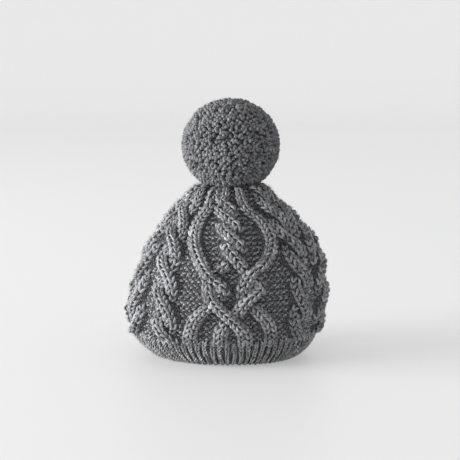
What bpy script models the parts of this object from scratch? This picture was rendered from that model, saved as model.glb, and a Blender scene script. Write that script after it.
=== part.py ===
# Cable-knit tea cosy with a large pompom, standing on its ribbed hem.
# Two knitted halves meet at the sides, where they part round a spout (-X) and a handle (+X).
# Metres, +Z up, -Y is the front. The origin is under the middle of the cosy, on the table.

import math
import random

import bmesh
import bpy
import numpy as np
from mathutils import Vector

MM = 0.001

# Driving dimensions of the knitted halves
GROUND_THICKNESS = 3.0 * MM
SEAM_HALF_GAP = 0.15 * MM
HEM_RIB_LENGTH = 36.0 * MM
HEM_RIBS = 40
RIB_RELIEF = 1.4 * MM
CABLE_RELIEF = 5.0 * MM
FULLNESS = 0.78  # 1 gives a strand a cosine's section, less makes its sides steeper
LAYER_SHARE = 0.4  # how far a crossing lifts the upper strand and lowers the one under it
ROPE_TWIST = 54.0 * MM  # knitted length in which the two strands of a rope change sides twice
FLAT_HEM = 10.0 * MM  # the hem's thickness is level here, so that its edge lies on the table
CROWN_X = 5.5 * MM  # the crown stands nearer the handle than the middle of the cosy's width

# The ground's outline, from the hem over the crown and into its dimple, in mm.
# Columns: height, reach to the spout's side, reach to the handle's side, depth.
PROFILE = (
    (0.0, 62.0, 55.0, 45.5),
    (7.5, 73.5, 65.5, 58.0),
    (19.0, 85.0, 74.0, 68.0),
    (35.0, 90.0, 77.8, 73.5),
    (52.0, 88.5, 81.5, 75.0),
    (69.0, 83.5, 82.0, 73.5),
    (86.0, 77.0, 80.5, 69.5),
    (100.0, 69.6, 74.6, 64.0),
    (112.0, 61.3, 65.2, 57.0),
    (123.0, 53.2, 54.8, 49.6),
    (133.0, 45.0, 43.7, 42.0),
    (142.0, 36.6, 35.2, 34.4),
    (148.6, 30.7, 30.0, 29.2),
    (151.0, 25.5, 25.5, 24.5),
    (149.2, 19.0, 19.0, 18.5),
    (146.3, 12.0, 12.0, 11.5),
    (145.5, 4.0, 4.0, 4.0),
)

# The slits: where they start and end along the knitting, and half their width
SPOUT_SLIT = {"start": 32.0 * MM, "end": 97.0 * MM, "half_gap": 15.0 * MM, "fullness": 0.8}
HANDLE_SLIT = {"start": 40.0 * MM, "end": 124.0 * MM, "half_gap": 7.5 * MM, "fullness": 0.45}

# The back half is pushed out behind the spout
FLARE = {"middle": 58.0 * MM, "half_length": 22.0 * MM, "reach": 7.2 * MM, "from_angle": 55.0}

# The cables shrink towards the gathered crown.
# Columns: length along the knitting in mm, share of the relief, width of a strand in mm.
CROWN = (
    (0.0, 1.0, 13.2),
    (115.0, 1.0, 13.2),
    (138.0, 0.9, 12.0),
    (152.0, 0.8, 10.8),
    (164.0, 0.72, 9.4),
    (174.0, 0.6, 7.6),
    (180.0, 0.43, 6.0),
    (186.0, 0.23, 4.4),
    (200.0, 0.14, 1.1),
)

# The middle lines of the four rope cables.
# Columns: length along the knitting in mm, angle from the half's middle in degrees.
ROPES = {
    "outer_left": ((20, -70), (34, -69), (54, -65.5), (72, -66), (90, -68.5), (117, -72), (149, -76), (200, -75)),
    "inner_left": ((20, -38), (50, -39.5), (70, -40), (86, -42), (103, -44), (121, -47), (140, -52),
                   (156, -55), (170, -53), (200, -45)),
    "inner_right": ((20, 45), (50, 45.5), (85, 46.5), (103, 46), (131, 46), (146, 49), (158, 50), (200, 45)),
    "outer_right": ((20, 75), (34, 76), (61, 73), (98, 70), (128, 68.5), (143, 71), (170, 75), (200, 75)),
}
ROPE_HAND = {"outer_left": -1, "inner_left": 1, "inner_right": 1, "outer_right": -1}

# The four strands of the middle plait. Columns: length along the knitting in mm, angle in degrees,
# layer, which is 1 where the strand lies over another and -1 where it lies under.
PLAIT = {
    "far_left": ((20, -26, 0), (39.5, -24, 0), (54.5, -20.5, 0), (63, -16, -0.3), (71.5, -9.5, -1),
                 (78, -5.5, -0.3), (84.5, -5, 0), (92.5, -12, 1), (101, -17.5, 0.3), (116, -25, 0),
                 (125, -28.5, 0), (135, -30.5, 0), (145, -30.5, 0), (153.5, -27.5, 0), (161, -26, 0),
                 (171.5, -29, 0), (200, -29, 0)),
    "mid_left": ((20, 9, 0), (38, 8.5, 0), (47, 7, 0.3), (58, 0, 1), (71.5, -9.5, 1), (81, -12.5, 0),
                 (92.5, -12, -1), (99.5, -6.5, -0.5), (109, 2.5, -1), (119, 6.5, 0), (128, 0, 1),
                 (138.5, -7.5, 0), (147, -3.5, -1), (156, 1, 0), (164, -11, 1), (171, -22, 0), (200, -20, 0)),
    "mid_right": ((20, -6.5, 0), (41, -6, 0), (48.5, -5, -0.3), (58, 0, -1), (63.5, 4, 0), (72.5, 9, 1),
                  (84.5, 18, 0), (95, 12, -1), (102, 6.5, 0), (109, 2.5, 1), (118.5, -2.5, 0), (128, 0, -1),
                  (137, 5.5, 0), (147, -3.5, 1), (155, -12, 0), (164, -12, -1), (172.5, -9, 0), (200, -8, 0)),
    "far_right": ((20, 27, 0), (37, 25, 0), (51.5, 22.5, 0), (60, 18, 0), (66.5, 13.5, -0.4), (72.5, 9, -1),
                  (82, 7.5, 0), (95, 12, 1), (101, 18.5, 0.3), (109.5, 25, 0), (117.5, 28.5, 0), (125, 31, 0),
                  (133, 31, 0), (141.5, 30, 0), (149, 25.5, 0), (157, 18, -0.3), (170, 14, 0), (200, 14, 0)),
}

# Mesh steps of a knitted half. The rows are closest where the cables cross.
# Columns of the table: number of the row, share of the knitted length.
COLUMNS = 2 * HEM_RIBS
ROWS = ((0, 0.0), (4, 0.165), (31, 0.75), (39, 1.0))
INNER_COLUMNS = 16
INNER_ROWS = 27

# The pompom: a core with locks of cut yarn that stand apart but for their roots
POMPOM_CENTRE = Vector((CROWN_X, 0.0, 189.3 * MM))
POMPOM_CORE_RADIUS = 38.5 * MM
POMPOM_RADIUS = 44.5 * MM
POMPOM_SEAT_RADIUS = 44.1 * MM  # where it is pressed on the crown
POMPOM_FLATNESS = 0.955  # its height against its width
SEAT_ANGLE = math.radians(125)
LOCKS_PER_BOX_EDGE = (7, 7, 6)
LOCK_TIP_SHARE = 0.86  # the size of a lock's end against the room it has
LOCK_LENGTH_SCATTER = 1.2 * MM

WOOL_GREY = (0.128, 0.130, 0.136, 1.0)
POMPOM_GREY = (0.115, 0.117, 0.122, 1.0)
WOOL_ROUGHNESS = 0.92


def smooth_curve(rows, steps=40):
    """Points of a Catmull-Rom curve through the rows, whatever number of columns they have."""
    rows = np.array(rows, float)
    ends = np.vstack([2 * rows[0] - rows[1], rows, 2 * rows[-1] - rows[-2]])
    points = []
    for before, start, end, after in zip(ends, ends[1:], ends[2:], ends[3:]):
        t = np.linspace(0, 1, steps, endpoint=False)[:, None]
        points.append(
            start
            + 0.5 * t * (end - before)
            + 0.5 * t**2 * (2 * before - 5 * start + 4 * end - after)
            + 0.5 * t**3 * (after - before + 3 * (start - end))
        )
    points.append(rows[-1:])
    return np.vstack(points)


def smooth_step(start, end, value):
    t = np.clip((value - start) / (end - start), 0, 1)
    return t * t * (3 - 2 * t)


OUTLINE = smooth_curve(PROFILE) * MM
MEAN_REACH = (OUTLINE[:, 1] + OUTLINE[:, 2] + 2 * OUTLINE[:, 3]) / 4
OUTLINE_LENGTH = np.concatenate([[0], np.cumsum(np.hypot(np.diff(OUTLINE[:, 0]), np.diff(MEAN_REACH)))])
KNIT_LENGTH = OUTLINE_LENGTH[-1]
CROWN_TABLE = np.array(CROWN) * (MM, 1, MM)
ROW_TABLE = np.array(ROWS) * (1, KNIT_LENGTH)
LAST_ROW = ROWS[-1][0]
PATHS = {name: smooth_curve(rows) for name, rows in {**ROPES, **PLAIT}.items()}


def outline_at(length):
    """Height, reach to the spout, reach to the handle and depth, at a length along the knitting."""
    return [np.interp(length, OUTLINE_LENGTH, OUTLINE[:, column]) for column in range(4)]


def half_gap(length, slit):
    """Half the gap between the two halves, at a length along the knitting."""
    share = np.clip((length - slit["start"]) / (slit["end"] - slit["start"]), 0, 1)
    return SEAM_HALF_GAP + slit["half_gap"] * np.sin(math.pi * share) ** slit["fullness"]


def ground_point(side, across, length):
    """A point of the knitted ground. across runs from -1 at the spout to 1 at the handle."""
    height, spout, handle, depth = outline_at(length)
    middle, lean = (spout + handle) / 2, (handle - spout) / 2
    gap = np.where(across < 0, half_gap(length, SPOUT_SLIT), half_gap(length, HANDLE_SLIT))
    angle = across * np.arccos(np.clip(gap / depth, 0, 1))
    sine = np.sin(angle)
    x = sine * (middle + lean * sine)
    if side > 0:
        near = smooth_step(-math.radians(FLARE["from_angle"]), -math.pi / 2, angle)
        along = np.clip((length - FLARE["middle"]) / FLARE["half_length"], -1, 1)
        x = x - FLARE["reach"] * near * np.cos(along * math.pi / 2) ** 2
    y = side * np.cos(angle) * depth
    return np.stack([x + CROWN_X, y, height + 0 * x], -1), angle


def ground_frame(side, across, length):
    """The ground's points, the way its thickness runs there, its angles and its width per radian."""
    across_step, length_step = 1e-4, 0.02 * MM
    point, angle = ground_point(side, across, length)
    east, east_angle = ground_point(side, across + across_step, length)
    west, west_angle = ground_point(side, across - across_step, length)
    up = ground_point(side, across, np.minimum(length + length_step, KNIT_LENGTH))[0]
    down = ground_point(side, across, np.maximum(length - length_step, 0))[0]
    normal = np.cross(east - west, up - down) * -side
    normal /= np.linalg.norm(normal, axis=-1, keepdims=True)
    level = normal * (1, 1, 0)
    level /= np.maximum(np.linalg.norm(level, axis=-1, keepdims=True), 1e-9)
    share = smooth_step(0, FLAT_HEM, length)[..., None]
    way = normal * share + level * (1 - share)
    way /= np.linalg.norm(way, axis=-1, keepdims=True)
    width_per_radian = np.linalg.norm(east - west, axis=-1) / np.maximum(east_angle - west_angle, 1e-9)
    return point, way, angle, width_per_radian


def strand_relief(distance, layer, length):
    """The height of one rounded strand above the ground, at a distance from its middle line."""
    relief = np.interp(length, CROWN_TABLE[:, 0], CROWN_TABLE[:, 1]) * CABLE_RELIEF
    width = np.interp(length, CROWN_TABLE[:, 0], CROWN_TABLE[:, 2])
    bulge = np.cos(np.clip(distance / (0.58 * width), -1, 1) * math.pi / 2)
    return np.maximum(bulge, 0) ** FULLNESS * relief * (1 + LAYER_SHARE * layer)


def cable_relief(angle, length, width_per_radian):
    """The height of all the cables above the ground."""
    at = length / MM
    width = np.interp(length, CROWN_TABLE[:, 0], CROWN_TABLE[:, 2])
    height = np.zeros_like(angle)
    for name, path in PATHS.items():
        middle = np.radians(np.interp(at, path[:, 0], path[:, 1]))
        distance = (angle - middle) * width_per_radian
        if name in PLAIT:
            layer = np.interp(at, path[:, 0], path[:, 2])
            height = np.maximum(height, strand_relief(distance, layer, length))
            continue
        turn = 2 * math.pi * length / ROPE_TWIST
        for part in (0, math.pi):
            sway = np.cos(turn + part)
            sway = np.sign(sway) * np.abs(sway) ** 0.7
            layer = np.sin(turn + part) * ROPE_HAND[name]
            height = np.maximum(height, strand_relief(distance - sway * width / 2, layer, length))
    return height


def knitted_relief(side, across, length, angle, width_per_radian):
    """Cables above the hem and upright ribs in it. The back half is the front one turned round."""
    ribs = RIB_RELIEF * (0.5 - 0.5 * np.cos(math.pi * HEM_RIBS * (across + 1)))
    cables = cable_relief(angle * -side, length, width_per_radian)
    share = smooth_step(HEM_RIB_LENGTH - 6 * MM, HEM_RIB_LENGTH + 4 * MM, length)
    edge = smooth_step(1.0, 0.95, np.abs(across))
    return (ribs * (1 - share) + cables * share) * edge


def place_grid(grid, side, inner):
    """Puts a grid on the unit square on the outer or the inner face of a knitted half."""
    flat = np.array([vertex.co[:2] for vertex in grid.verts]) + 0.5
    across = 2 * flat[:, 0] - 1
    length = np.interp(flat[:, 1] * LAST_ROW, ROW_TABLE[:, 0], ROW_TABLE[:, 1])
    point, way, angle, width_per_radian = ground_frame(side, across, length)
    if inner:
        lift = np.full_like(length, -GROUND_THICKNESS)
    else:
        lift = knitted_relief(side, across, length, angle, width_per_radian)
    for vertex, place in zip(grid.verts, point + way * lift[:, None]):
        vertex.co = place


def mark_sides(grid, side_number):
    """Numbers the boundary edges of a grid on the unit square 1 to 4, by the side they lie on."""
    for edge in grid.edges:
        if not edge.is_boundary:
            continue
        middle = (edge.verts[0].co + edge.verts[1].co) / 2
        if abs(middle.x) > abs(middle.y):
            edge[side_number] = 1 if middle.x < 0 else 2
        else:
            edge[side_number] = 3 if middle.y < 0 else 4


def knitted_half(name, side, material, collection):
    """One half: a grid for each face of the cloth, bridged round its rim into a closed sheet."""
    body = bmesh.new()
    for columns, rows, inner in ((COLUMNS, LAST_ROW, False), (INNER_COLUMNS, INNER_ROWS, True)):
        grid = bmesh.new()
        bmesh.ops.create_grid(grid, x_segments=columns, y_segments=rows, size=0.5)
        mark_sides(grid, grid.edges.layers.int.new("side_number"))
        place_grid(grid, side, inner)
        mesh = bpy.data.meshes.new("face")
        grid.to_mesh(mesh)
        grid.free()
        body.from_mesh(mesh)
        bpy.data.meshes.remove(mesh)
    side_number = body.edges.layers.int["side_number"]
    for number in (1, 2, 3, 4):
        rims = [edge for edge in body.edges if edge.is_boundary and edge[side_number] == number]
        bmesh.ops.bridge_loops(body, edges=rims)
    bmesh.ops.triangulate(body, faces=body.faces)
    bmesh.ops.recalc_face_normals(body, faces=body.faces)
    return finished(name, body, material, collection)


def lock_order(face):
    """Puts the pompom's faces in a fixed order, from the top down and then round."""
    middle = face.calc_center_median()
    return (round(-middle.z, 5), round(math.atan2(middle.y, middle.x), 4))


def pompom(material, collection):
    """A box cut into squares and rounded to a ball, each face of which is drawn out into a lock."""
    scatter = random.Random(7)
    ball = bmesh.new()
    bmesh.ops.create_cube(ball, size=2)
    for axis, locks in enumerate(LOCKS_PER_BOX_EDGE):
        along = [edge for edge in ball.edges if abs(edge.verts[0].co[axis] - edge.verts[1].co[axis]) > 1]
        bmesh.ops.subdivide_edges(ball, edges=along, cuts=locks - 1, use_grid_fill=True)
    for vertex in ball.verts:
        spread = Vector([math.tan(place * math.pi / 4) for place in vertex.co])
        vertex.co = spread.normalized() * POMPOM_CORE_RADIUS
    for root in sorted(ball.faces, key=lock_order):
        tip = bmesh.ops.extrude_discrete_faces(ball, faces=[root])["faces"][0]
        middle = tip.calc_center_median().normalized()
        end = POMPOM_RADIUS - scatter.uniform(0, LOCK_LENGTH_SCATTER)
        if middle.angle(Vector((0, 0, 1))) > SEAT_ANGLE:
            end = POMPOM_SEAT_RADIUS
        for vertex in tip.verts:
            vertex.co = middle.lerp(vertex.co.normalized(), LOCK_TIP_SHARE).normalized() * end
    bmesh.ops.scale(ball, verts=ball.verts, vec=(1, 1, POMPOM_FLATNESS))
    bmesh.ops.translate(ball, verts=ball.verts, vec=POMPOM_CENTRE)
    bmesh.ops.triangulate(ball, faces=ball.faces)
    return finished("pompom", ball, material, collection)


def finished(name, shape, material, collection):
    mesh = bpy.data.meshes.new(name)
    shape.to_mesh(mesh)
    shape.free()
    mesh.materials.append(material)
    mesh.shade_smooth()
    piece = bpy.data.objects.new(name, mesh)
    collection.objects.link(piece)
    return piece


def wool(name, colour):
    material = bpy.data.materials.new(name)
    material.use_nodes = True
    shader = material.node_tree.nodes["Principled BSDF"]
    shader.inputs["Base Color"].default_value = colour
    shader.inputs["Roughness"].default_value = WOOL_ROUGHNESS
    shader.inputs["Metallic"].default_value = 0.0
    return material


def main():
    for old in list(bpy.data.objects):
        bpy.data.objects.remove(old, do_unlink=True)
    collection = bpy.data.collections.new("tea_cosy")
    bpy.context.scene.collection.children.link(collection)
    knit = wool("grey_wool_knit", WOOL_GREY)
    knitted_half("panel_front", -1, knit, collection)
    knitted_half("panel_back", 1, knit, collection)
    pompom(wool("grey_wool_pompom", POMPOM_GREY), collection)


main()
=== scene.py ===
import math

import bmesh
import bpy
import numpy as np
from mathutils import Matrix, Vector


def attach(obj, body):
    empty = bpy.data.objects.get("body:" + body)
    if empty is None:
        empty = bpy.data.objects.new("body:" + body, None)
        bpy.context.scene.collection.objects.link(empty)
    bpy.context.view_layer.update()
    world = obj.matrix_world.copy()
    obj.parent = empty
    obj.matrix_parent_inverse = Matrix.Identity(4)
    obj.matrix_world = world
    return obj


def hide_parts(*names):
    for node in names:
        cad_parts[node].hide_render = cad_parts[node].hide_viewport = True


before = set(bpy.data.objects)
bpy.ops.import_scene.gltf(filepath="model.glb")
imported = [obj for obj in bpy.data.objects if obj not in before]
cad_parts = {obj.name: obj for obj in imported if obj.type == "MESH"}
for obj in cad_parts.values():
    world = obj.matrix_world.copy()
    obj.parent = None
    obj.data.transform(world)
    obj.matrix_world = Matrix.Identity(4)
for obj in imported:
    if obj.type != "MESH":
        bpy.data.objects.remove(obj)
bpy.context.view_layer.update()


# The camera, in front of the cosy and a little above it, at arm's length with a long lens. It looks
# at a point just beside the crown, which stands off the middle of the cosy's width.
MM = 0.001
CROWN_X = 5.5 * MM
CAMERA_TARGET = Vector((CROWN_X - 0.6 * MM, 0.0, 112.8 * MM))
CAMERA_DISTANCE = 1.15
CAMERA_ELEVATION = math.radians(7.5)

bpy.ops.object.camera_add()
camera = bpy.context.object
camera.name = "picture_camera"
camera.data.lens = 100.0
camera.data.sensor_width = 36.0
camera.location = CAMERA_TARGET + CAMERA_DISTANCE * Vector(
    (0, -math.cos(CAMERA_ELEVATION), math.sin(CAMERA_ELEVATION))
)
camera.rotation_euler = (math.pi / 2 - CAMERA_ELEVATION, 0, 0)
bpy.context.scene.camera = camera


# The two knitted halves: wool cloth of one shape, knitted flat from the hem up and drawn together at
# the crown. This first part is the cloth itself, with the swell of its cables. The stitches that
# show on its outer face are laid on it further down.
SIDES = {"front": -1, "back": 1}
CLOTH_THICKNESS = 3.0 * MM
YARN_DEPTH = 1.5 * MM  # how far the cloth's face lies under the tops of its stitches
SEAM_HALF_GAP = 0.15 * MM
CABLE_RELIEF = 5.6 * MM
FULLNESS = 0.74  # 1 gives a strand a cosine's section, less makes its sides steeper
LAYER_SHARE = 0.45  # how much higher a strand stands where it lies over another
CREASE = 2.0 * MM  # how far the cloth is drawn down where two strands meet
CREASE_FADE = 0.9 * MM  # the step between two strands at which most of that crease is gone
ROPE_TWIST = 54.0 * MM  # length of one full turn of a rope
HEM_RIB_LENGTH = 36.0 * MM
HEM_RIBS = 40
RIB_RELIEF = 2.0 * MM
FLAT_HEM = 10.0 * MM  # up to here the way out of the cloth turns from level to square with it
CLOTH_ROW = 3.2 * MM
OUTER_STEPS = (150, 116)
INNER_STEPS = (60, 46)
SPOUT_SLIT = {"start": 32.0 * MM, "end": 97.0 * MM, "half_gap": 15.0 * MM, "fullness": 0.8}
HANDLE_SLIT = {"start": 40.0 * MM, "end": 124.0 * MM, "half_gap": 7.5 * MM, "fullness": 0.45}
# On the camera's left, the back half's edge stands out beside the wide slit.
FLARE = {"middle": 58.0 * MM, "half_length": 22.0 * MM, "reach": 7.2 * MM, "from_angle": 55.0}

# Columns: height, reach to the camera's left, reach to its right, depth, in mm.
PROFILE = (
    (0.0, 62.0, 55.0, 45.5),
    (7.5, 73.5, 65.5, 58.0),
    (19.0, 85.0, 74.0, 68.0),
    (35.0, 90.0, 77.8, 73.5),
    (52.0, 88.5, 81.5, 75.0),
    (69.0, 83.5, 82.0, 73.5),
    (86.0, 77.0, 80.5, 69.5),
    (100.0, 69.6, 74.6, 64.0),
    (112.0, 61.3, 65.2, 57.0),
    (123.0, 53.2, 54.8, 49.6),
    (133.0, 45.0, 43.7, 42.0),
    (142.0, 36.6, 35.2, 34.4),
    (148.6, 30.7, 30.0, 29.2),
    (151.0, 25.5, 25.5, 24.5),
    (149.2, 19.0, 19.0, 18.5),
    (146.3, 12.0, 12.0, 11.5),
    (145.5, 4.0, 4.0, 4.0),
)
# Columns: length along the knitting in mm, share of the cables' height, width of a strand in mm.
CROWN = (
    (0.0, 1.0, 14.2),
    (115.0, 1.0, 14.2),
    (138.0, 0.94, 13.4),
    (152.0, 0.88, 12.4),
    (164.0, 0.82, 11.2),
    (174.0, 0.70, 9.4),
    (180.0, 0.50, 7.2),
    (186.0, 0.25, 4.8),
    (200.0, 0.14, 1.2),
)
# Columns: length along the knitting in mm, angle from the half's middle in degrees.
ROPES = {
    "outer_left": ((20, -70), (34, -69), (54, -65.5), (72, -66), (90, -68.5), (117, -72), (149, -76),
                   (200, -75)),
    "inner_left": ((20, -38), (50, -39.5), (70, -40), (86, -42), (103, -44), (121, -47), (140, -52),
                   (156, -55), (170, -53), (200, -45)),
    "inner_right": ((20, 45), (50, 45.5), (85, 46.5), (103, 46), (131, 46), (146, 49), (158, 50), (200, 45)),
    "outer_right": ((20, 75), (34, 76), (61, 73), (98, 70), (128, 68.5), (143, 71), (170, 75), (200, 75)),
}
ROPE_HAND = {"outer_left": -1, "inner_left": 1, "inner_right": 1, "outer_right": -1}
# Columns: length along the knitting in mm, angle in degrees, layer (1 over, -1 under).
PLAIT = {
    "far_left": ((20, -26, 0), (39.5, -24, 0), (54.5, -20.5, 0), (63, -16, -0.3), (71.5, -9.5, -1),
                 (78, -5.5, -0.3), (84.5, -5, 0), (92.5, -12, 1), (101, -17.5, 0.3), (116, -25, 0),
                 (125, -28.5, 0), (135, -30.5, 0), (145, -30.5, 0), (153.5, -27.5, 0), (161, -26, 0),
                 (171.5, -29, 0), (200, -29, 0)),
    "mid_left": ((20, 9, 0), (38, 8.5, 0), (47, 7, 0.3), (58, 0, 1), (71.5, -9.5, 1), (81, -12.5, 0),
                 (92.5, -12, -1), (99.5, -6.5, -0.5), (109, 2.5, -1), (119, 6.5, 0), (128, 0, 1),
                 (138.5, -7.5, 0), (147, -3.5, -1), (156, 1, 0), (164, -11, 1), (171, -22, 0), (200, -20, 0)),
    "mid_right": ((20, -6.5, 0), (41, -6, 0), (48.5, -5, -0.3), (58, 0, -1), (63.5, 4, 0), (72.5, 9, 1),
                  (84.5, 18, 0), (95, 12, -1), (102, 6.5, 0), (109, 2.5, 1), (118.5, -2.5, 0), (128, 0, -1),
                  (137, 5.5, 0), (147, -3.5, 1), (155, -12, 0), (164, -12, -1), (172.5, -9, 0), (200, -8, 0)),
    "far_right": ((20, 27, 0), (37, 25, 0), (51.5, 22.5, 0), (60, 18, 0), (66.5, 13.5, -0.4), (72.5, 9, -1),
                  (82, 7.5, 0), (95, 12, 1), (101, 18.5, 0.3), (109.5, 25, 0), (117.5, 28.5, 0), (125, 31, 0),
                  (133, 31, 0), (141.5, 30, 0), (149, 25.5, 0), (157, 18, -0.3), (170, 14, 0), (200, 14, 0)),
}


def smooth_curve(rows, steps=40):
    """Points of a Catmull-Rom curve through the rows, whatever number of columns they have."""
    rows = np.array(rows, float)
    ends = np.vstack([2 * rows[0] - rows[1], rows, 2 * rows[-1] - rows[-2]])
    points = []
    for before, start, end, after in zip(ends, ends[1:], ends[2:], ends[3:]):
        t = np.linspace(0, 1, steps, endpoint=False)[:, None]
        points.append(
            start
            + 0.5 * t * (end - before)
            + 0.5 * t**2 * (2 * before - 5 * start + 4 * end - after)
            + 0.5 * t**3 * (after - before + 3 * (start - end))
        )
    points.append(rows[-1:])
    return np.vstack(points)


def smooth_step(start, end, value):
    """0 at the start, 1 at the end, and eased between them."""
    t = np.clip((value - start) / (end - start), 0, 1)
    return t * t * (3 - 2 * t)


outline = smooth_curve(PROFILE) * MM
mean_reach = (outline[:, 1] + outline[:, 2] + 2 * outline[:, 3]) / 4
outline_length = np.concatenate([[0], np.cumsum(np.hypot(np.diff(outline[:, 0]), np.diff(mean_reach)))])
knit_length = outline_length[-1]
crown_table = np.array(CROWN) * (MM, 1, MM)
paths = {name: smooth_curve(rows) for name, rows in {**ROPES, **PLAIT}.items()}


def outline_at(length):
    """Height, reach to the left, reach to the right and depth, at a length along the knitting."""
    return [np.interp(length, outline_length, outline[:, column]) for column in range(4)]


def half_gap(length, slit):
    """Half the gap between the two halves, which is wide at a slit and closed elsewhere."""
    share = np.clip((length - slit["start"]) / (slit["end"] - slit["start"]), 0, 1)
    return SEAM_HALF_GAP + slit["half_gap"] * np.sin(math.pi * share) ** slit["fullness"]


def edge_angle(side, turn, length):
    """The angle at which a half ends, on the side that turn points to."""
    at_spout = turn * -side < 0
    gap = np.where(at_spout, half_gap(length, SPOUT_SLIT), half_gap(length, HANDLE_SLIT))
    return np.arccos(np.clip(gap / outline_at(length)[3], 0, 1))


def ground_point(side, turn, length):
    """A point of the ground. turn is the angle from the half's middle, to the right seen from outside."""
    height, left, right, depth = outline_at(length)
    middle, lean = (left + right) / 2, (right - left) / 2
    angle = turn * -side
    sine = np.sin(angle)
    x = sine * (middle + lean * sine)
    if side > 0:
        near = smooth_step(-math.radians(FLARE["from_angle"]), -math.pi / 2, angle)
        along = np.clip((length - FLARE["middle"]) / FLARE["half_length"], -1, 1)
        x = x - FLARE["reach"] * near * np.cos(along * math.pi / 2) ** 2
    return np.stack([x + CROWN_X, side * np.cos(angle) * depth, height + 0 * x], -1)


def unit(vectors):
    return vectors / np.maximum(np.linalg.norm(vectors, axis=-1, keepdims=True), 1e-12)


def ground_frame(side, turn, length):
    """The ground's points, the way out of it, and its width per radian."""
    turn_step, length_step = 1e-4, 0.02 * MM
    right = ground_point(side, turn + turn_step, length) - ground_point(side, turn - turn_step, length)
    up = (ground_point(side, turn, np.minimum(length + length_step, knit_length))
          - ground_point(side, turn, np.maximum(length - length_step, 0)))
    normal = unit(np.cross(right, up))
    share = smooth_step(0, FLAT_HEM, length)[..., None]
    way = unit(normal * share + unit(normal * (1, 1, 0)) * (1 - share))
    return ground_point(side, turn, length), way, np.linalg.norm(right, axis=-1) / (2 * turn_step)


def strand_line(name, part, length, width_per_radian):
    """The angle of a strand's middle line and its layer, at a length along the knitting."""
    at = length / MM
    path = paths[name]
    middle = np.radians(np.interp(at, path[:, 0], path[:, 1]))
    if name in PLAIT:
        return middle, np.interp(at, path[:, 0], path[:, 2])
    width = np.interp(length, crown_table[:, 0], crown_table[:, 2])
    turn = 2 * math.pi * length / ROPE_TWIST + part * math.pi
    sway = np.sign(np.cos(turn)) * np.abs(np.cos(turn)) ** 0.85
    layer = np.sign(np.sin(turn)) * np.abs(np.sin(turn)) ** 0.6 * ROPE_HAND[name]
    return middle + sway * 0.49 * width / width_per_radian, layer


def strand_height(name, part, turn, length, width_per_radian):
    """How high one rounded strand stands above the ground."""
    middle, layer = strand_line(name, part, length, width_per_radian)
    relief = np.interp(length, crown_table[:, 0], crown_table[:, 1]) * CABLE_RELIEF
    width = np.interp(length, crown_table[:, 0], crown_table[:, 2]) * (1 + 0.12 * layer)
    bulge = np.cos(np.clip((turn - middle) * width_per_radian / (0.58 * width), -1, 1) * math.pi / 2)
    return np.maximum(bulge, 0) ** FULLNESS * relief * (1 + LAYER_SHARE * layer)


STRANDS = [(name, part) for name in ROPES for part in (0, 1)] + [(name, 0) for name in PLAIT]


def two_highest(turn, length, width_per_radian):
    """The heights of the two strands that stand highest at a point, the lower of them first."""
    heights = [strand_height(name, part, turn, length, width_per_radian) for name, part in STRANDS]
    return np.sort(heights, axis=0)[-2:]


def creased(height, beside):
    """A strand's height, lower where its neighbour stands nearly as high."""
    groove = CREASE * np.exp(-np.maximum(height - beside, 0) / CREASE_FADE)
    return height - groove * np.clip(beside / MM, 0, 1)


def cable_height(turn, length, width_per_radian):
    beside, height = two_highest(turn, length, width_per_radian)
    return creased(height, beside)


def above_hem(length):
    """0 in the hem's ribbing, 1 above it."""
    return smooth_step(HEM_RIB_LENGTH - 6 * MM, HEM_RIB_LENGTH + 4 * MM, length)


def flat_edge(side, turn, length):
    """1 over most of a half, falling to 0 at its edges."""
    return smooth_step(1.0, 0.95, np.abs(turn) / edge_angle(side, turn, length))


def rib_height(side, turn, length):
    across = turn / edge_angle(side, turn, length)
    return RIB_RELIEF * (0.5 - 0.5 * np.cos(math.pi * HEM_RIBS * (across + 1)))


def face_grid(side, columns, rows, inner):
    """One face of the cloth: a flat grid put on the outer or the inner side of a half."""
    grid = bmesh.new()
    wales = grid.loops.layers.uv.new("stitches")
    side_number = grid.edges.layers.int.new("side_number")
    bmesh.ops.create_grid(grid, x_segments=columns, y_segments=rows, size=0.5)
    for edge in grid.edges:
        if edge.is_boundary:
            middle = (edge.verts[0].co + edge.verts[1].co) / 2
            if abs(middle.x) > abs(middle.y):
                edge[side_number] = 1 if middle.x < 0 else 2
            else:
                edge[side_number] = 3 if middle.y < 0 else 4
    flat = np.array([vertex.co[:2] for vertex in grid.verts]) + 0.5
    length = flat[:, 1] * knit_length
    across = 2 * flat[:, 0] - 1
    turn = across * edge_angle(side, across, length)
    point, way, width_per_radian = ground_frame(side, turn, length)
    if inner:
        lift = np.full_like(length, -CLOTH_THICKNESS)
    else:
        share = above_hem(length)
        swell = cable_height(turn, length, width_per_radian) * share
        swell += rib_height(side, turn, length) * (1 - share)
        lift = swell * flat_edge(side, turn, length) - YARN_DEPTH
    for vertex, place in zip(grid.verts, point + way * lift[:, None]):
        vertex.co = place
    for face in grid.faces:
        for loop in face.loops:
            column, row = flat[loop.vert.index]
            loop[wales].uv = (column * 2 * HEM_RIBS, row * knit_length / CLOTH_ROW)
    mesh = bpy.data.meshes.new("face")
    grid.to_mesh(mesh)
    grid.free()
    return mesh


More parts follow.
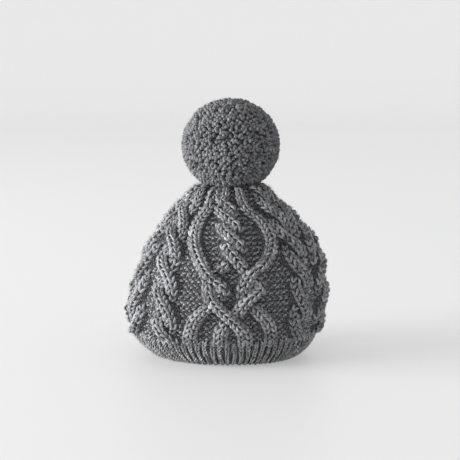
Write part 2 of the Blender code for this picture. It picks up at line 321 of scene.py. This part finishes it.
def knitted_cloth(name, side):
    """Both faces of a half, bridged round the rim into one closed sheet."""
    body = bmesh.new()
    for columns, rows, inner in ((*OUTER_STEPS, False), (*INNER_STEPS, True)):
        mesh = face_grid(side, columns, rows, inner)
        body.from_mesh(mesh)
        bpy.data.meshes.remove(mesh)
    side_number = body.edges.layers.int["side_number"]
    for number in (1, 2, 3, 4):
        rims = [edge for edge in body.edges if edge.is_boundary and edge[side_number] == number]
        bmesh.ops.bridge_loops(body, edges=rims)
    bmesh.ops.recalc_face_normals(body, faces=body.faces)
    mesh = bpy.data.meshes.new(name)
    body.to_mesh(mesh)
    body.free()
    mesh.shade_smooth()
    # The outer faces take the first material, whose dark colour is painted shade under the stitches.
    outer_faces = OUTER_STEPS[0] * OUTER_STEPS[1]
    for face in mesh.polygons:
        face.material_index = 0 if face.index < outer_faces else 1
    cloth = bpy.data.objects.new(name, mesh)
    bpy.context.collection.objects.link(cloth)
    return cloth


# The wool of the halves and the pompom: marled grey, of pale and dark fibres spun together, so that
# each ply is flecked. It is matt, with a faint bloom of fine hairs.
WOOL_DARK = (0.046, 0.047, 0.050, 1.0)
WOOL_LIGHT = (0.470, 0.473, 0.490, 1.0)


def math_node(tree, operation, first, second=None):
    node = tree.nodes.new("ShaderNodeMath")
    node.operation = operation
    for socket, value in zip(node.inputs, (first, second)):
        if isinstance(value, (int, float)):
            socket.default_value = value
        elif value is not None:
            tree.links.new(value, socket)
    return node.outputs[0]


def wool_group():
    """Shader group: the fleck of marled wool and the fine hairs of its surface."""
    group = bpy.data.node_groups.new("marled_wool", "ShaderNodeTree")
    group.interface.new_socket("Tone", in_out="INPUT", socket_type="NodeSocketFloat")
    group.interface.new_socket("Dark", in_out="INPUT", socket_type="NodeSocketColor")
    group.interface.new_socket("Light", in_out="INPUT", socket_type="NodeSocketColor")
    group.interface.new_socket("Colour", in_out="OUTPUT", socket_type="NodeSocketColor")
    group.interface.new_socket("Hairs", in_out="OUTPUT", socket_type="NodeSocketFloat")
    nodes, links = group.nodes, group.links
    given, result = nodes.new("NodeGroupInput"), nodes.new("NodeGroupOutput")
    place = nodes.new("ShaderNodeTexCoord")
    flecks = nodes.new("ShaderNodeTexNoise")
    flecks.inputs["Scale"].default_value = 900.0
    flecks.inputs["Detail"].default_value = 3.0
    flecks.inputs["Roughness"].default_value = 0.65
    hairs = nodes.new("ShaderNodeTexNoise")
    hairs.inputs["Scale"].default_value = 2600.0
    hairs.inputs["Detail"].default_value = 2.0
    links.new(place.outputs["Object"], flecks.inputs["Vector"])
    links.new(place.outputs["Object"], hairs.inputs["Vector"])
    spread = nodes.new("ShaderNodeMapRange")
    spread.inputs["From Min"].default_value = 0.28
    spread.inputs["From Max"].default_value = 0.72
    links.new(flecks.outputs["Fac"], spread.inputs["Value"])
    fine = math_node(group, "MULTIPLY", math_node(group, "SUBTRACT", hairs.outputs["Fac"], 0.5), 0.6)
    toned = math_node(group, "ADD", spread.outputs["Result"], given.outputs["Tone"])
    share = math_node(group, "ADD", toned, fine)
    mix = nodes.new("ShaderNodeMix")
    mix.data_type = "RGBA"
    links.new(share, mix.inputs["Factor"])
    links.new(given.outputs["Dark"], mix.inputs["A"])
    links.new(given.outputs["Light"], mix.inputs["B"])
    links.new(mix.outputs["Result"], result.inputs["Colour"])
    links.new(hairs.outputs["Fac"], result.inputs["Hairs"])
    return group


marled_wool = wool_group()


def wool_material(name, dark=WOOL_DARK, light=WOOL_LIGHT):
    """A wool material with its colour set. Returns it with its tree, its wool group and its bump."""
    material = bpy.data.materials.new(name)
    material.use_nodes = True
    tree = material.node_tree
    shader = tree.nodes["Principled BSDF"]
    shader.inputs["Roughness"].default_value = 0.88
    shader.inputs["Specular IOR Level"].default_value = 0.25
    shader.inputs["Sheen Weight"].default_value = 0.14
    shader.inputs["Sheen Roughness"].default_value = 0.45
    wool = tree.nodes.new("ShaderNodeGroup")
    wool.node_tree = marled_wool
    wool.inputs["Dark"].default_value = dark
    wool.inputs["Light"].default_value = light
    wool.inputs["Tone"].default_value = 0.0
    bump = tree.nodes.new("ShaderNodeBump")
    bump.inputs["Strength"].default_value = 0.9
    bump.inputs["Distance"].default_value = 0.35 * MM
    tree.links.new(wool.outputs["Colour"], shader.inputs["Base Color"])
    tree.links.new(bump.outputs["Normal"], shader.inputs["Normal"])
    return material, tree, wool, bump


def cloth_material(name, dark, light):
    """Columns of V stitches, drawn from the stitch count in the UV map, with painted shade where they sink.
    """
    material, tree, wool, bump = wool_material(name, dark, light)
    counts = tree.nodes.new("ShaderNodeUVMap")
    counts.uv_map = "stitches"
    split = tree.nodes.new("ShaderNodeSeparateXYZ")
    tree.links.new(counts.outputs["UV"], split.inputs["Vector"])
    wale = math_node(tree, "FRACT", split.outputs["X"])
    off_middle = math_node(tree, "ABSOLUTE", math_node(tree, "SUBTRACT", wale, 0.5))
    slanted = math_node(tree, "SUBTRACT", split.outputs["Y"], math_node(tree, "MULTIPLY", off_middle, 1.3))
    along = math_node(tree, "SINE", math_node(tree, "MULTIPLY", math_node(tree, "FRACT", slanted), math.pi))
    across = math_node(tree, "SINE", math_node(tree, "MULTIPLY", off_middle, 2 * math.pi))
    height = math_node(tree, "MULTIPLY", along, across)
    # Painted shade: the colour is darker where the drawn stitches sink and lighter on their tops.
    shade = math_node(tree, "SUBTRACT", math_node(tree, "MULTIPLY", height, 0.7), 0.45)
    tree.links.new(shade, wool.inputs["Tone"])
    tree.links.new(height, bump.inputs["Height"])
    bump.inputs["Distance"].default_value = 1.1 * MM
    return material


# The outer face is coloured far darker than the wool: painted shade, for the shade it lies in under
# its stitches. The inner face is the plain side of the knitting.
painted_shade_wool = cloth_material(
    "wool_painted_shade_under_stitches", dark=(0.018, 0.018, 0.019, 1.0), light=(0.20, 0.201, 0.207, 1.0)
)
inner_wool = cloth_material("wool_inside", dark=WOOL_DARK, light=WOOL_LIGHT)
for half, side in SIDES.items():
    cloth = knitted_cloth(f"cosy_{half}_cloth", side)
    cloth.data.materials.append(painted_shade_wool)
    cloth.data.materials.append(inner_wool)
    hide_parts(f"panel_{half}")
    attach(cloth, "root")


# The cables: four ropes of two strands each, and the plait of four strands down the middle. Each
# strand is two wales of knit stitches in the same wool, knitted out of turn so that they cross. A
# stitch shows two slanting legs of yarn, which are modelled once and laid in rows by the thousand.
CABLE_ROW = 4.8 * MM
CABLE_WALE = 5.0 * MM
CABLE_YARN = (2.1 * MM, 2.3 * MM)
SPREAD = 0.96  # share of a strand's width that its stitches fill
NARROW_STRAND = 5.4 * MM  # one wale is left below this width
PATH_STEP = 0.25 * MM
CABLE_START = 31 * MM
CABLE_EDGE = 4.0 * MM  # left free for the chain along the half's edge
SHOWS = 0.25 * MM  # a stitch no further than this below the top strand still shows
TOP_ROW = 184 * MM
TOP_LIMIT = 185 * MM
scatter = np.random.default_rng(11)


def yarn_piece(name, axis, line, across, sides=(6, 5)):
    """A short length of yarn, thin at its ends, bent along a line of three points in mm."""
    bpy.ops.object.select_all(action="DESELECT")
    bpy.ops.mesh.primitive_uv_sphere_add(segments=sides[0], ring_count=sides[1], radius=1.0)
    piece = bpy.context.object
    piece.name = name
    bpy.ops.object.mode_set(mode="EDIT")
    bpy.ops.mesh.select_all(action="SELECT")
    bpy.ops.mesh.quads_convert_to_tris()
    bpy.ops.object.mode_set(mode="OBJECT")
    start, middle, end = (Vector(point) * MM for point in line)
    for vertex in piece.data.vertices:
        t = vertex.co.z
        place = start * (t * t - t) / 2 + middle * (1 - t * t) + end * (t * t + t) / 2
        beside, over = vertex.co.x * across[0] / 2, vertex.co.y * across[1] / 2
        vertex.co = place + Vector((beside, 0, -over) if axis == "Y" else (0, beside, over))
    return piece


def yarn_pattern(pieces):
    """The corners, faces and UVs of one or more pieces, as the pattern that is copied. Its faces are
    put in the order of their corners, because triangulation leaves them in a new order each run."""
    points, faces, uvs = [], [], []
    for piece in pieces:
        first = len(points)
        points += [tuple(vertex.co) for vertex in piece.data.vertices]
        corner_uvs = piece.data.uv_layers[0].data
        for face in sorted(piece.data.polygons, key=lambda face: sorted(face.vertices)):
            faces.append([first + corner for corner in face.vertices])
            uvs += [tuple(corner_uvs[corner].uv) for corner in face.loop_indices]
        bpy.data.objects.remove(piece)
    return np.array(points), np.array(faces), np.array(uvs)


def leg_pair(line, across):
    """The two legs of a knit stitch, from the line of its right leg in mm."""
    return yarn_pattern([
        yarn_piece("stitch_leg", "Y", [(x * hand, y, z) for x, y, z in line], across) for hand in (-1, 1)
    ])


def lay_copies(name, pattern, places):
    """One mesh with a copy of the pattern at each place."""
    points, faces, uvs = pattern
    origin, right, up, out, size, tone = (np.concatenate(column) for column in zip(*places))
    count = len(origin)
    laid = origin[:, None, :] + sum(
        (points[None, :, axis, None] * size[:, None, axis, None]) * way[:, None, :]
        for axis, way in enumerate((right, up, out))
    )
    mesh = bpy.data.meshes.new(name)
    corners = (faces[None] + np.arange(count)[:, None, None] * len(points)).reshape(-1, 3)
    mesh.from_pydata(laid.reshape(-1, 3).tolist(), [], corners.tolist())
    mesh.uv_layers.new(name="yarn").data.foreach_set("uv", np.tile(uvs, (count, 1)).ravel())
    mesh.attributes.new("tone", "FLOAT", "POINT").data.foreach_set("value", np.repeat(tone, len(points)))
    mesh.shade_smooth()
    piece = bpy.data.objects.new(name, mesh)
    bpy.context.collection.objects.link(piece)
    return piece


def yarn_material(name, plies, turns, dark=WOOL_DARK, light=WOOL_LIGHT):
    """Plied yarn: the twist of the plies runs round each piece, and each piece has its own tone."""
    material, tree, wool, bump = wool_material(name, dark, light)
    around = tree.nodes.new("ShaderNodeUVMap")
    around.uv_map = "yarn"
    split = tree.nodes.new("ShaderNodeSeparateXYZ")
    tree.links.new(around.outputs["UV"], split.inputs["Vector"])
    wound = math_node(
        tree, "ADD",
        math_node(tree, "MULTIPLY", split.outputs["X"], plies),
        math_node(tree, "MULTIPLY", split.outputs["Y"], turns),
    )
    ply = math_node(tree, "SINE", math_node(tree, "MULTIPLY", wound, 2 * math.pi))
    tone = tree.nodes.new("ShaderNodeAttribute")
    tone.attribute_name = "tone"
    shade = math_node(tree, "ADD", tone.outputs["Fac"], math_node(tree, "MULTIPLY", ply, 0.14))
    tree.links.new(shade, wool.inputs["Tone"])
    hairs = math_node(tree, "MULTIPLY", wool.outputs["Hairs"], 0.8)
    height = math_node(tree, "ADD", math_node(tree, "MULTIPLY", ply, 0.5), hairs)
    tree.links.new(height, bump.inputs["Height"])
    return material


def stitch_places(side, surface, turn, length, slant, size, tilt=0.0, unevenness=0.09):
    """Where stitches go on a surface, each with its own axes. slant is the way the wale leans, tilt
    the mean turn of a stitch in its place, and unevenness how far single ones stray from that."""
    step = 0.3 * MM
    width_per_radian = ground_frame(side, turn, length)[2]
    sine, cosine = np.sin(slant), np.cos(slant)
    origin = surface(turn, length)
    up = unit(surface(turn + step * sine / width_per_radian, length + step * cosine) - origin)
    right = surface(turn + step * cosine / width_per_radian, length - step * sine) - origin
    out = unit(np.cross(right, up))
    right = np.cross(up, out)
    tone = scatter.normal(0, 0.12, len(origin))
    size = size * (1 + scatter.normal(0, 0.07, size.shape))
    lean = scatter.normal(tilt, unevenness, (len(origin), 1))
    right, up = unit(right + lean * up), unit(up - lean * right)
    return origin, right, up, out, size, tone


def strand_places(side, name, part):
    """The stitches of one strand, in rows of two wales, and of one wale where it narrows to the crown."""
    def surface(turn, length):
        point, way, width_per_radian = ground_frame(side, turn, length)
        own = strand_height(name, part, turn, length, width_per_radian)
        height = creased(own, two_highest(turn, length, width_per_radian)[0]) * above_hem(length)
        return point + way * (height * flat_edge(side, turn, length))[:, None]

    length = np.arange(CABLE_START, TOP_ROW, PATH_STEP)
    straight = ground_frame(side, 0 * length, length)[2]
    middle = strand_line(name, part, length, straight)[0]
    width_per_radian = ground_frame(side, middle, length)[2]
    middle = strand_line(name, part, length, width_per_radian)[0]
    sideways = np.gradient(middle) * width_per_radian
    run = np.concatenate([[0], np.cumsum(np.hypot(np.diff(length), sideways[1:]))])
    found = []
    for row in np.arange(0.5, run[-1] / CABLE_ROW):
        at = int(np.searchsorted(run, row * CABLE_ROW))
        slant = math.atan2(sideways[at], PATH_STEP)
        width = np.interp(length[at], crown_table[:, 0], crown_table[:, 2]) * (0.72 + 0.28 * math.cos(slant))
        wales = 2 if width > NARROW_STRAND else 1
        for wale in range(wales):
            off = (wale - (wales - 1) / 2) * SPREAD * width / wales
            found.append((middle[at] + off * math.cos(slant) / width_per_radian[at],
                          length[at] - off * math.sin(slant), slant, SPREAD * width / wales / CABLE_WALE))
    turn, length, slant, wide = np.array(found).T
    width_per_radian = ground_frame(side, turn, length)[2]
    on_top = (strand_height(name, part, turn, length, width_per_radian)
              > two_highest(turn, length, width_per_radian)[1] - SHOWS)
    room = (edge_angle(side, turn, length) - np.abs(turn)) * width_per_radian
    kept = on_top & (room > CABLE_EDGE) & (length > CABLE_START) & (length < TOP_LIMIT)
    turn, length, slant, wide = turn[kept], length[kept], slant[kept], wide[kept]
    size = np.stack([wide, np.ones_like(wide), 0.6 + 0.4 * wide], -1)
    return stitch_places(side, surface, turn, length, slant, size)


stitch_yarn = yarn_material("wool_stitches", plies=2.0, turns=0.8)
on_cloth = {half: [] for half in SIDES}


def finish_stitches(piece, half, wool=stitch_yarn):
    piece.data.materials.append(wool)
    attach(piece, "root")
    on_cloth[half].append(piece)


cable_stitch = leg_pair(((0.28, -3.7, -2.3), (1.24, -0.2, 0.0), (2.12, 3.3, -2.3)), CABLE_YARN)
for half, side in SIDES.items():
    ropes = [strand_places(side, name, part) for name in ROPES for part in (0, 1)]
    finish_stitches(lay_copies(f"{half}_rope_stitches", cable_stitch, ropes), half)
    plait = [strand_places(side, name, 0) for name in PLAIT]
    finish_stitches(lay_copies(f"{half}_plait_stitches", cable_stitch, plait), half)


# The purl ground between the cables, and the hem below them, ribbed with one knit and one purl wale
# by turns from its cast-on loops up. A purl stitch shows a bump of yarn, with a sinker loop between
# it and the next. A chain of knit stitches edges each half.
ROW_HEIGHT = 3.25 * MM
WALE_WIDTH = 4.2 * MM
PURL_ROW = 5.0 * MM
PURL_WALE = 5.8 * MM
PURL_START = 33 * MM
PURL_EDGE = 5.2 * MM
BARE = 1.0 * MM  # a cable lower than this leaves the ground bare
YARN = (1.88 * MM, 2.0 * MM)
BUMP_YARN = (1.95 * MM, 2.2 * MM)
SINKER_YARN = (1.6 * MM, 2.0 * MM)
CAST_ON_LOOP = (0.62, 0.7, 0.8)
RIB_WALES = {
    "knit": {"start": 3.0 * MM, "end": 36 * MM, "share": 0.62, "lift": 0.2 * MM},
    "purl": {"start": 3.2 * MM, "end": 35 * MM, "share": 0.42, "lift": -0.7 * MM},
}
knit_stitch = leg_pair(((0.20, -2.45, -1.9), (1.08, -0.1, 0.0), (1.90, 2.25, -1.9)), YARN)
purl_stitch = yarn_pattern([
    yarn_piece("purl_bump", "X", ((-2.3, -1.2, -1.9), (0.0, 0.8, 0.1), (2.3, -0.8, -1.9)), BUMP_YARN)
])
purl_sinker = yarn_pattern([
    yarn_piece("purl_sinker", "X", ((-2.3, 0.8, -1.9), (0.0, -0.8, 0.0), (2.3, 1.2, -1.9)), SINKER_YARN)
])
single_bump = yarn_pattern([
    yarn_piece("yarn_bump", "X", ((-1.7, -0.5, -1.9), (0.0, 0.5, 0.0), (1.7, -0.5, -1.9)), YARN)
])


def ground_surface(side, lift):
    def surface(turn, length):
        point, way, width_per_radian = ground_frame(side, turn, length)
        share = above_hem(length)
        height = rib_height(side, turn, length) * (1 - share) * flat_edge(side, turn, length) + lift
        return point + way * height[:, None]
    return surface


def purl_places(side, half_step):
    """Bumps in rows, or the sinker loops between them, half a wale and half a row away."""
    found = []
    for length in np.arange(PURL_START, TOP_ROW, PURL_ROW) + half_step * PURL_ROW:
        turns = np.linspace(-math.pi / 2, math.pi / 2, 400)
        width_per_radian = ground_frame(side, turns, np.full(400, length))[2]
        width = np.cumsum(width_per_radian) * (turns[1] - turns[0])
        wales = 2 * round(width[-1] / PURL_WALE / 2)
        places = (np.arange(wales) + 0.25 + half_step) * width[-1] / wales
        for turn in np.interp(places, width, turns):
            found.append((turn, length, width[-1] / wales / PURL_WALE))
    turn, length, wide = np.array(found).T
    width_per_radian = ground_frame(side, turn, length)[2]
    room = (edge_angle(side, turn, length) - np.abs(turn)) * width_per_radian
    bare = cable_height(turn, length, width_per_radian) * above_hem(length) < BARE
    kept = bare & (room > PURL_EDGE) & (length < TOP_LIMIT)
    turn, length, wide = turn[kept], length[kept], wide[kept]
    size = np.stack([wide, np.ones_like(wide), np.ones_like(wide)], -1)
    lift = (0.1 - 1.3 * half_step) * MM
    return stitch_places(side, ground_surface(side, lift), turn, length, 0 * turn, size, 0.12, 0.16)


def wale_places(side, start, end, turn_at, wide_at, lift):
    """One upright wale of stitches, whose place and width are functions of the length."""
    length = np.arange(start, end, ROW_HEIGHT)
    turn = turn_at(length)
    wide = wide_at(length)
    size = np.stack([wide, np.ones_like(wide), np.ones_like(wide)], -1)
    slant = np.arctan2(np.gradient(turn) * ground_frame(side, turn, length)[2], ROW_HEIGHT)
    return stitch_places(side, ground_surface(side, lift), turn, length, slant, size)


def rib_places(side, kind):
    """The knit or the purl wales of the ribbing, each a little wavy."""
    wale = RIB_WALES[kind]
    places = []
    for rib in range(HEM_RIBS):
        across = -1 + (2 * rib + 1 + (kind == "purl")) / HEM_RIBS
        if abs(across) > 0.985:
            continue
        sway, start = scatter.uniform(0.004, 0.010), scatter.uniform(0, 2 * math.pi)

        def turn_at(length):
            bend = sway * np.sin(length / (6 * MM) + start) * (1 - abs(across))
            return (across + bend) * edge_angle(side, across, length)

        def wide_at(length):
            width_per_radian = ground_frame(side, turn_at(length), length)[2]
            pitch = 2 / HEM_RIBS * edge_angle(side, across, length) * width_per_radian
            return wale["share"] * pitch / WALE_WIDTH

        places.append(wale_places(side, wale["start"], wale["end"], turn_at, wide_at, wale["lift"]))
    return places


def edge_places(side):
    places = []
    for hand in (-1, 1):
        def turn_at(length):
            limit = edge_angle(side, hand, length)
            return hand * (limit - 2.1 * MM / ground_frame(side, hand * limit, length)[2])

        def wide_at(length):
            return np.full_like(length, 0.95)

        places.append(wale_places(side, 3.0 * MM, TOP_ROW, turn_at, wide_at, 0.1 * MM))
    return places


def cast_on_places(side):
    """The row of loops that the knitting hangs from, along the lower edge."""
    limit = edge_angle(side, 1, 0.0) * 0.99
    turn = np.linspace(-limit, limit, 2 * HEM_RIBS + 1)
    length = np.full_like(turn, 1.9 * MM)
    size = np.repeat([CAST_ON_LOOP], len(turn), axis=0)
    return stitch_places(side, ground_surface(side, 0.2 * MM), turn, length, 0 * turn, size)


for half, side in SIDES.items():
    finish_stitches(lay_copies(f"{half}_purl_ground", purl_stitch, [purl_places(side, 0.0)]), half)
    finish_stitches(lay_copies(f"{half}_purl_sinkers", purl_sinker, [purl_places(side, 0.5)]), half)
    finish_stitches(lay_copies(f"{half}_cast_on", single_bump, [cast_on_places(side)]), half)
    finish_stitches(lay_copies(f"{half}_hem_ribs", knit_stitch, rib_places(side, "knit")), half)
    finish_stitches(lay_copies(f"{half}_hem_purls", single_bump, rib_places(side, "purl")), half)
    finish_stitches(lay_copies(f"{half}_edge_chain", knit_stitch, edge_places(side)), half)


# The side seams: the two halves are sewn edge to edge with the same wool, one stitch across the gap
# for each row, below and above the slit that each side leaves open. They go with the front half.
SEAM_STITCH = (0.75, 0.8, 0.8)
SEAM_DEPTH = 0.35 * MM


def seam_places(hand, slit):
    """The sewing stitches from one half to the other, below and above the slit on one side."""
    below = np.arange(3.0 * MM, slit["start"], ROW_HEIGHT)
    above = np.arange(slit["end"] + 1 * MM, TOP_ROW, ROW_HEIGHT)
    length = np.concatenate([below, above])
    size = np.repeat([SEAM_STITCH], len(length), axis=0)
    turn = np.full_like(length, hand * math.pi / 2)
    return stitch_places(-1, ground_surface(-1, -SEAM_DEPTH), turn, length, 0 * turn, size)


for name, hand, slit in (("spout", -1, SPOUT_SLIT), ("handle", 1, HANDLE_SLIT)):
    finish_stitches(lay_copies(f"{name}_side_seam", single_bump, [seam_places(hand, slit)]), "front")


# The halo of the wool: loose fibres that worked out of the yarn and stand off it all over, each a
# fine bent hair that is held at its foot by the spin.
HAIRS = 6000
HAIR_ACROSS = (0.17 * MM, 0.17 * MM)
hair = yarn_pattern([
    yarn_piece("hair", "Y", ((0.0, -1.7, -0.2), (0.35, 0.2, 0.8), (-0.1, 1.6, 1.9)), HAIR_ACROSS, (3, 3))
])
hair_wool = yarn_material("wool_hairs", plies=1.0, turns=0.0, dark=(0.16, 0.162, 0.168, 1.0))


def hair_places(side):
    length = scatter.uniform(10 * MM, TOP_ROW, HAIRS)
    across = scatter.uniform(-0.97, 0.97, HAIRS)
    turn = across * edge_angle(side, across, length)

    def surface(turn, length):
        point, way, width_per_radian = ground_frame(side, turn, length)
        share = above_hem(length)
        height = cable_height(turn, length, width_per_radian) * share
        height += rib_height(side, turn, length) * (1 - share)
        return point + way * (height * flat_edge(side, turn, length) + 0.3 * MM)[:, None]

    size = scatter.uniform(0.5, 1.3, (HAIRS, 1)) * (1, 1, 1)
    return stitch_places(side, surface, turn, length, scatter.uniform(0, 2 * math.pi, HAIRS), size)


for half, side in SIDES.items():
    finish_stitches(lay_copies(f"{half}_hairs", hair, [hair_places(side)]), half, hair_wool)


# The pompom: yarn wound, tied round its middle, cut and trimmed to a ball, and sewn on the crown.
# Its dense cut ends stand side by side round a core that hides the tie, with loose fibres between.
POMPOM_CENTRE = np.array([CROWN_X, 0.0, 189.3 * MM])
POMPOM_RADIUS = 44.3 * MM
POMPOM_FLATNESS = 0.955
CORE_DEPTH = 4.6 * MM
YARN_ENDS = 2150
END_SIZE = (1.9 * MM, 1.9 * MM, 2.5 * MM)
HOLLOW_DEPTH = 4.5 * MM
POMPOM_HAIRS = 3000


def pile_end():
    """One cut yarn end: thick, with a blunt head."""
    bpy.ops.object.select_all(action="DESELECT")
    bpy.ops.mesh.primitive_uv_sphere_add(segments=7, ring_count=5, radius=1.0)
    piece = bpy.context.object
    bpy.ops.object.mode_set(mode="EDIT")
    bpy.ops.mesh.select_all(action="SELECT")
    bpy.ops.mesh.quads_convert_to_tris()
    bpy.ops.transform.resize(value=END_SIZE, center_override=(0, 0, 0))
    bpy.ops.transform.translate(value=(0, 0, -END_SIZE[2]))
    bpy.ops.object.mode_set(mode="OBJECT")
    return yarn_pattern([piece])


def pile_places():
    """Yarn ends spread evenly over the ball, each a little out of line."""
    number = np.arange(YARN_ENDS) + 0.5
    fall = 1 - 2 * number / YARN_ENDS
    spin = math.pi * (1 + 5**0.5) * number
    level = np.sqrt(1 - fall**2)
    out = np.stack([level * np.cos(spin), level * np.sin(spin), fall], -1)
    out = unit(out + scatter.normal(0, 0.016, out.shape))
    waves = scatter.normal(0, 13, (8, 3))
    hollows = np.sin(out @ waves.T + scatter.uniform(0, 2 * math.pi, 8)).mean(axis=1)
    sunk = np.abs(scatter.normal(0, 0.7 * MM, YARN_ENDS))
    radius = POMPOM_RADIUS + 0.3 * MM - sunk - HOLLOW_DEPTH * np.maximum(hollows, 0)
    origin = POMPOM_CENTRE + out * radius[:, None] * (1, 1, POMPOM_FLATNESS)
    lean = unit(out + scatter.normal(0, 0.13, out.shape))
    right = unit(np.cross(scatter.normal(0, 1, out.shape), lean))
    up = np.cross(lean, right)
    size = 1 + scatter.normal(0, 0.10, (YARN_ENDS, 3))
    return origin, right, up, lean, size, scatter.normal(-0.02, 0.13, YARN_ENDS)


def pompom_hair_places():
    """Hairs that point away from the ball, each leaning its own way."""
    out = unit(scatter.normal(0, 1, (POMPOM_HAIRS, 3)))
    origin = POMPOM_CENTRE + out * (POMPOM_RADIUS - 1.2 * MM) * (1, 1, POMPOM_FLATNESS)
    up = unit(out + scatter.normal(0, 0.6, out.shape))
    right = unit(np.cross(up, scatter.normal(0, 1, out.shape)))
    size = scatter.uniform(0.6, 1.3, (POMPOM_HAIRS, 1)) * (1, 1, 1)
    return origin, right, up, np.cross(right, up), size, scatter.normal(0, 0.12, POMPOM_HAIRS)


bpy.ops.object.select_all(action="DESELECT")
bpy.ops.mesh.primitive_ico_sphere_add(subdivisions=4, radius=POMPOM_RADIUS - CORE_DEPTH)
pompom_core = bpy.context.object
pompom_core.name = "pompom_core"
bpy.ops.object.mode_set(mode="EDIT")
bpy.ops.mesh.select_all(action="SELECT")
bpy.ops.transform.resize(value=(1, 1, POMPOM_FLATNESS), center_override=(0, 0, 0))
bpy.ops.transform.translate(value=tuple(POMPOM_CENTRE))
bpy.ops.object.mode_set(mode="OBJECT")
# The core's near-black colour is painted shade, for the depth between the yarn ends.
core_shade_wool, core_tree, core_fibres, core_bump = wool_material(
    "pompom_core_painted_shade", dark=(0.008, 0.008, 0.009, 1.0), light=(0.09, 0.09, 0.094, 1.0)
)
core_tree.links.new(core_fibres.outputs["Hairs"], core_bump.inputs["Height"])
pompom_core.data.materials.append(core_shade_wool)

pompom_pile = lay_copies("pompom_pile", pile_end(), [pile_places()])
# The pile is the same marled wool, coloured darker than on the halves: painted shade within the deep pile.
pompom_pile.data.materials.append(yarn_material(
    "wool_pompom_pile_painted_shade", plies=3.0, turns=0.6,
    dark=(0.036, 0.037, 0.040, 1.0), light=(0.270, 0.272, 0.283, 1.0),
))
pompom_hairs = lay_copies("pompom_hairs", hair, [pompom_hair_places()])
pompom_hairs.data.materials.append(hair_wool)
for piece in (pompom_core, pompom_pile, pompom_hairs):
    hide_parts("pompom")
    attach(piece, "root")


# The table and the light: a pale floor that curves up far behind on all sides, and soft light from
# the left, as by a window, with a bright room all round.
FLOOR_FLAT = 3.8
FLOOR_WIDTH = 12.0
FLOOR_RISE = 1.1
WINDOW_PLACE = Vector((-3.18, -0.66, 0.60))
WINDOW_SIZE = (2.3, 0.95)
WINDOW_POWER = 232.0
ROOM_LIGHT = 0.74

bpy.ops.object.select_all(action="DESELECT")
bpy.ops.mesh.primitive_grid_add(x_subdivisions=96, y_subdivisions=96, size=FLOOR_WIDTH)
floor = bpy.context.object
floor.name = "pale_floor"
for vertex in floor.data.vertices:
    beyond = max(0.0, vertex.co.xy.length - FLOOR_FLAT)
    vertex.co.z = FLOOR_RISE * beyond**2
floor.data.shade_smooth()
floor_material = bpy.data.materials.new("pale_floor")
floor_material.use_nodes = True
floor_shader = floor_material.node_tree.nodes["Principled BSDF"]
floor_shader.inputs["Base Color"].default_value = (0.42, 0.42, 0.422, 1.0)
floor_shader.inputs["Roughness"].default_value = 0.5
floor_shader.inputs["Emission Color"].default_value = (1.0, 1.0, 1.0, 1.0)
floor_shader.inputs["Emission Strength"].default_value = 0.35
floor.data.materials.append(floor_material)

room = bpy.data.worlds.new("studio")
room.use_nodes = True
room.node_tree.nodes["Background"].inputs["Color"].default_value = (1.0, 1.0, 1.0, 1.0)
room.node_tree.nodes["Background"].inputs["Strength"].default_value = ROOM_LIGHT
bpy.context.scene.world = room
bpy.context.scene.view_settings.view_transform = "Standard"

bpy.ops.object.light_add(type="AREA", location=WINDOW_PLACE)
window = bpy.context.object
window.name = "window_light"
window.data.shape = "RECTANGLE"
window.data.size, window.data.size_y = WINDOW_SIZE
window.data.energy = WINDOW_POWER
window.visible_camera = False
window.rotation_euler = (Vector((0, 0, 0.1)) - WINDOW_PLACE).to_track_quat("-Z", "Y").to_euler()
